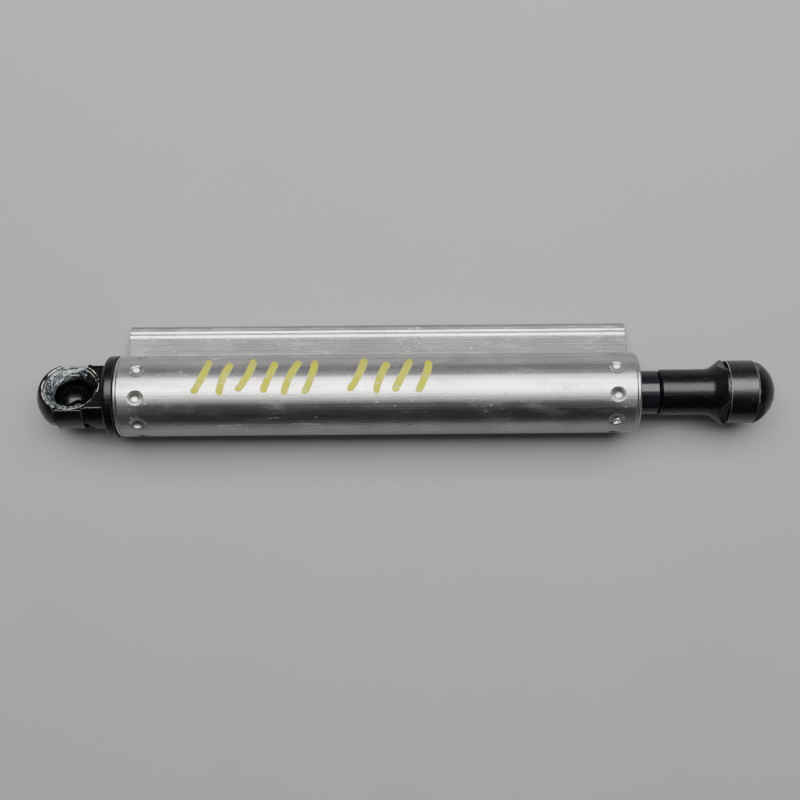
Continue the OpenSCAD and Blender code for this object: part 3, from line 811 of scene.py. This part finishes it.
def nylon(paint, worn, ball=None, mouth=None):
    """Almost black, glossy and cloudy; worn says how far its edges are rubbed pale."""
    cloud = noise(paint, (160, 160, 160), 4, 0.6)
    glass = noise(paint, (5200, 5200, 5200), 2, 0.5)
    rubs = noise(paint, (420, 2600, 2600), 3, 0.6, (3, 3, 1)).rise(0.54, 0.66)
    specks = noise(paint, (1800, 1800, 1800), 1, 0.5, (1, 7, 5)).rise(0.74, 0.78)
    edges = edge_mask(paint, 0.30, 0.80) * worn
    colour = tint(paint, cloud, (0.0010, 0.0009, 0.0010, 1), (0.0035, 0.0032, 0.0032, 1))
    colour = tint(paint, rubs * 0.04 + specks * 0.3, colour, (0.10, 0.095, 0.085, 1))
    colour = tint(paint, edges, colour, (0.30, 0.29, 0.27, 1))
    rough = 0.22 + cloud * 0.10 + rubs * 0.12 + edges * 0.04
    rings = noise(paint, (1700, 220, 220), 2, 0.5, (5, 2, 7))
    height = glass * 0.5 + rings * 3.2 + cloud * 0.4
    if ball is not None:
        grease = grease_mask(paint, ball, mouth)
        milk = noise(paint, (260, 520, 520), 4, 0.65, (6, 2, 2))
        film = tint(paint, milk.rise(0.36, 0.70), (0.035, 0.045, 0.052, 1), (0.19, 0.225, 0.235, 1))
        colour = tint(paint, grease * 0.9, colour, film)
        # Painted highlight: two pale rings on the mouth's rim stand in for its glints
        colour = tint(paint, painted_rim_highlight(paint, ball, mouth), colour, (0.62, 0.60, 0.55, 1))
        above, beside = seat_place(paint, ball, mouth)
        seat = (above * above + beside * beside).rise(SEAT_OUTSIDE, SEAT_INSIDE)
        rough = rough - grease * 0.12 - seat * 0.07
        height = height + milk * grease * 4
    return {"Base Color": colour, "Roughness": rough, "Specular IOR Level": 0.34,
            "Normal": dents(paint, height, 0.008 * MM)}


base_socket.data.materials.append(
    finish("greasy_nylon", lambda paint: nylon(paint, 0.2, BASE_BALL, BASE_MOUTH)))
rod_socket.data.materials.append(
    finish("rod_nylon", lambda paint: nylon(paint, 0.5, ROD_BALL, ROD_MOUTH)))


# %% [markdown]
# ## Black spring steel
#
# The two safety bands are oiled black spring steel, a thin strip pressed into shape. It is a little
# shinier than the nylon, and it shows bare metal where its edges are rubbed, fully from the middle
# towards +Y, which faces the lamp, and hardly at all towards -Y: partly wear, partly painted
# highlight.
# A little of the grease is smeared on the tabs that reach into the mouth.


# %% Black spring steel
def black_steel(paint, ball, mouth, rubbed):
    """Black oxide with bare, metallic edges; rubbed says how much of the bare metal shows."""
    cloud = noise(paint, (220, 220, 220), 4, 0.6)
    grain = noise(paint, (1500, 1000, 1000), 3, 0.6)
    # Painted highlight: bare edges show fully on the side towards +Y, which faces the lamp, and little
    # towards -Y
    painted_lit_side = parts(paint)[1].rise(-4.5 * MM, -1.5 * MM)
    bare = edge_mask(paint, 0.30, 0.7) * rubbed * (painted_lit_side * 0.85 + 0.15)
    scuffs = noise(paint, (1700, 700, 700), 3, 0.6, (2, 8, 1)).rise(0.66, 0.72) * 0.15 * rubbed
    height, beside = seat_place(paint, ball, mouth)
    smear = noise(paint, (200, 1500, 1500), 4, 0.6, (6, 2, 2)).rise(0.52, 0.62)
    grease = beside.rise(8.0, 7.6) * height.rise(0.5, 1.5) * smear
    bare = (bare * 0.8).most(scuffs)
    colour = tint(paint, cloud, (0.0015, 0.0015, 0.0018, 1), (0.005, 0.005, 0.0052, 1))
    colour = tint(paint, bare, colour, (0.60, 0.58, 0.54, 1))
    colour = tint(paint, grease * 0.6, colour, (0.36, 0.39, 0.39, 1))
    rough = 0.22 + cloud * 0.14 - grease * 0.06
    return {"Base Color": colour, "Metallic": bare * 0.9, "Roughness": rough,
            "Specular IOR Level": 0.6,
            "Normal": dents(paint, grain * 3.4 + grease * smear * 4, 0.008 * MM)}


base_band.data.materials.append(
    finish("base_band_steel", lambda paint: black_steel(paint, BASE_BALL, BASE_MOUTH, 0.35)))
rod_band.data.materials.append(
    finish("rod_band_steel", lambda paint: black_steel(paint, ROD_BALL, ROD_MOUTH, 1.0)))

# %% [markdown]
# ## The grease in the base mouth
#
# Grease isn't paint: where the ball was pulled out it stands in ridges. It is made as a thin film of
# its own, a closed skin that follows the funnel's wall once round the mouth and steps up on to the
# band's two tabs. Its thickness is a sum of waves less a threshold, so the film dips below the wall
# and disappears between its lumps. CAD has no such piece: it rides on the base.


# %% Grease
def grease_film(around=420, across=26):
    """Top and bottom of the film as a closed grid: a meridian line plus thickness along its normal.

    turn goes once round the mouth, and t from the seat's edge at 0 to the rim at 1. The thickness is
    the pushed grease plus five crossed sine waves less a threshold, rounded off at both borders.
    Lengths are in mm until the very end.
    """
    turn = np.linspace(0, 2 * math.pi, around, endpoint=False)[None, :]
    t = np.linspace(0, 1, across)[:, None]
    side = np.array([1.0, 0, 0])
    cross = np.cross(BASE_MOUTH, side)
    # 1 on the two tabs, which lie across the strut
    on_tab = soft_step(3.5 - 6.3 * np.abs(np.cos(turn)), 0, 0.3)
    # The line that the film follows: on the funnel's wall, and higher and flatter on the tabs
    radius = (1 - on_tab) * (5.0 + 2.0 * t) + on_tab * (5.45 + 1.75 * t)
    height = (1 - on_tab) * (1.6 + 2.47 * t) + on_tab * (3.0 + 0.93 * t)
    lift = np.array([(1 - on_tab) * -0.78 - on_tab * 0.47, (1 - on_tab) * 0.63 + on_tab * 0.88])
    # Five waves, divided by the sum of their strengths
    waves = (np.sin(3 * turn + 5 * t + 0.4) + np.sin(9 * turn - 7 * t + 2 * np.sin(4 * turn))
             + 0.8 * np.sin(17 * turn + 11 * t * t + 1.3) + 0.6 * np.sin(31 * turn + 19 * t)
             + 0.5 * np.sin(6 * math.pi * t + 3 * np.sin(5 * turn))) / 3.9
    # Thickest towards -X and on the tabs
    pushed = 0.30 - 0.30 * np.cos(turn) + 0.30 * on_tab
    thick = (pushed + 0.55 * waves - 0.42) * np.sqrt(np.clip(4 * t * (1 - t), 0, 1))
    thick = np.clip(thick, -0.12, 0.34)
    shells = [(radius + lift[0] * h, height + lift[1] * h)
              for h in (thick, np.minimum(thick, 0) - 0.15)]
    radius = np.concatenate([shells[0][0], shells[1][0][::-1]]) * MM
    height = np.concatenate([shells[0][1], shells[1][1][::-1]]) * MM
    spoke = np.cos(turn)[..., None] * side + np.sin(turn)[..., None] * cross
    return BASE_BALL + radius[..., None] * spoke + height[..., None] * BASE_MOUTH


def milky_grease(paint):
    """Dark, wet grease that turns milky in streaks, mostly on the mouth's sides towards +Y and -Y."""
    streak = noise(paint, (420, 800, 800), 4, 0.6, (6, 2, 2))
    beside = (parts(paint)[1] - float(BASE_BALL[1])).size().rise(2.5 * MM, 6 * MM)
    milk = streak.rise(0.44, 0.64) * (beside * 0.75 + 0.25)
    colour = tint(paint, milk, (0.012, 0.018, 0.024, 1), (0.36, 0.40, 0.41, 1))
    return {"Base Color": colour, "Roughness": 0.16 + streak * 0.15,
            "Normal": dents(paint, streak, 0.05 * MM)}


grease = grid_piece("mouth_grease", grease_film())
grease.data.materials.append(finish("milky_grease", milky_grease))
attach(grease, body_of["base_socket"])

# %% [markdown]
# ## Rod, cartridge and small parts
#
# The piston rod is ground and nitrided: black, very smooth, with faint marks round it. The parts
# inside the housing only show when the strut is taken apart, and each gets the finish that its making
# leaves: drawn steel, turned steel, brass, sintered bronze and moulded rubber.


# %% The other finishes
def turned_metal(low, high, rough, waves, metallic=1.0, depth=0.004):
    """A recipe for metal whose colour lies between low and high, with fine marks depth mm deep.

    The marks' waves per metre along X, Y and Z set which way they run.
    """
    def recipe(paint):
        """A slow cloud between the two colours, the fine marks, and a few darker stains."""
        cloud = noise(paint, (140, 140, 140), 4, 0.6)
        marks = noise(paint, waves, 2, 0.5)
        stain = noise(paint, (500, 500, 500), 4, 0.7, (3, 1, 5)).rise(0.6, 0.8)
        colour = tint(paint, cloud, low, high)
        dark = tuple(c * 0.55 for c in low[:3]) + (1,)
        return {"Base Color": tint(paint, stain * 0.4, colour, dark), "Metallic": metallic,
                "Roughness": rough + marks * 0.12 + stain * 0.1,
                "Normal": dents(paint, marks, depth * MM)}
    return recipe


def rubber(paint):
    """Dull black rubber with a pale bloom in patches."""
    cloud = noise(paint, (300, 300, 300), 4, 0.6)
    bloom = noise(paint, (900, 900, 900), 3, 0.6, (4, 4, 4)).rise(0.55, 0.8)
    return {"Base Color": tint(paint, bloom * 0.4, grey(0.010), grey(0.05)),
            "Roughness": 0.55 + cloud * 0.2, "Normal": dents(paint, cloud, 0.02 * MM)}


FINISHES = {
    "rod_steel": finish("nitrided_rod", turned_metal(
        (0.006, 0.006, 0.010, 1), (0.012, 0.011, 0.017, 1), 0.12, (9000, 300, 300),
        metallic=0.25, depth=0.002)),
    "cartridge_steel": finish("drawn_steel", turned_metal(
        grey(0.42), grey(0.52), 0.30, (60, 6000, 6000))),
    "bright_steel": finish("turned_steel", turned_metal(
        grey(0.50), grey(0.60), 0.26, (7000, 300, 300))),
    "insert_brass": finish("brass", turned_metal(
        (0.62, 0.42, 0.14, 1), (0.72, 0.52, 0.20, 1), 0.28, (7000, 300, 300))),
    "bronze": finish("sintered_bronze", turned_metal(
        (0.36, 0.22, 0.11, 1), (0.48, 0.30, 0.16, 1), 0.42, (3000, 3000, 3000), depth=0.02)),
    "rubber": finish("rubber", rubber),
    "bush_moulding": finish("bush_nylon", lambda paint: nylon(paint, 0.0)),
}
for name, node in nodes.items():
    if slot_of[name] in FINISHES:
        node.data.materials.clear()
        node.data.materials.append(FINISHES[slot_of[name]])
print("CAD nodes that keep their shape:", sum(slot_of[n] in FINISHES for n in nodes))
